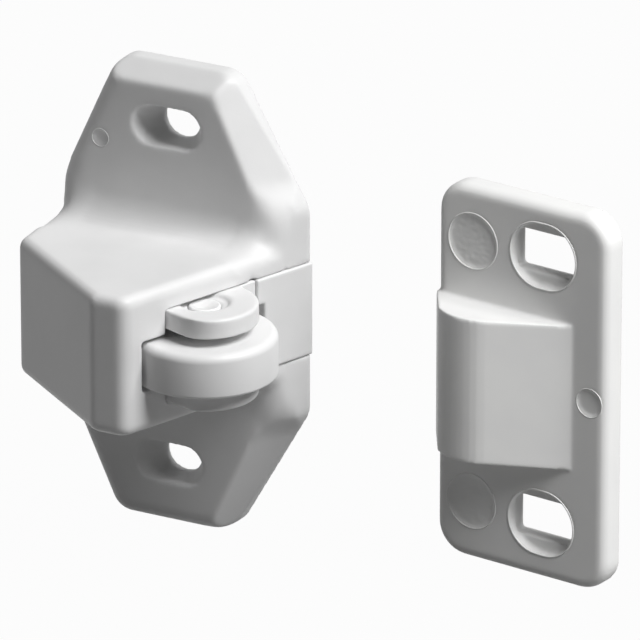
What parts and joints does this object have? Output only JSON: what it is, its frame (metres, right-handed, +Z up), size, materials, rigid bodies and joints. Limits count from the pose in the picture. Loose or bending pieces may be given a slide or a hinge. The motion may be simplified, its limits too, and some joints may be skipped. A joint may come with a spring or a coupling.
{
  "type": "roller catch",
  "caption": "Moulded plastic roller catch: a six-sided screw-on body with a sprung roller, and a separate wedge-shaped strike plate.",
  "frame": {"origin": "midway between the catch's two screw slots, on the plane that the catch is screwed to", "axes": "+Z up through the upper screw slot, +Y into the panel that carries the catch, +X towards the roller's side and the strike plate"},
  "size_m": [0.0634, 0.0306, 0.0516],
  "materials": {
    "housing": "matt moulded white polypropylene",
    "rear_cover": "matt moulded white polypropylene",
    "fork": "matt moulded white acetal",
    "roller": "satin moulded white acetal",
    "roller_axle": "matt moulded white plastic pin with staked ends",
    "fork_spring": "bright spring steel wire",
    "strike_plate": "matt moulded white polypropylene"
  },
  "bodies": {
    "catch": {"housing": "housing", "rear_cover": "rear_cover", "fork_spring": "fork_spring", "strike_plate": "strike_plate"},
    "fork": {"fork": "fork", "roller_axle": "roller_axle"},
    "roller": {"roller": "roller"}
  },
  "joints": [
    {"name": "fork_slide", "type": "slide", "parent": "catch", "child": "fork", "axis": [0.9455, -0.3256, 0], "range_m": [-0.004, 0], "stiffness_N_per_m": 1200, "springref_m": 0.004, "deforming": ["fork_spring"]},
    {"name": "roller_spin", "type": "hinge", "parent": "fork", "child": "roller", "pos_m": [0.01042, -0.01503, 0], "axis": [0, 0, 1], "continuous": true}
  ]
}
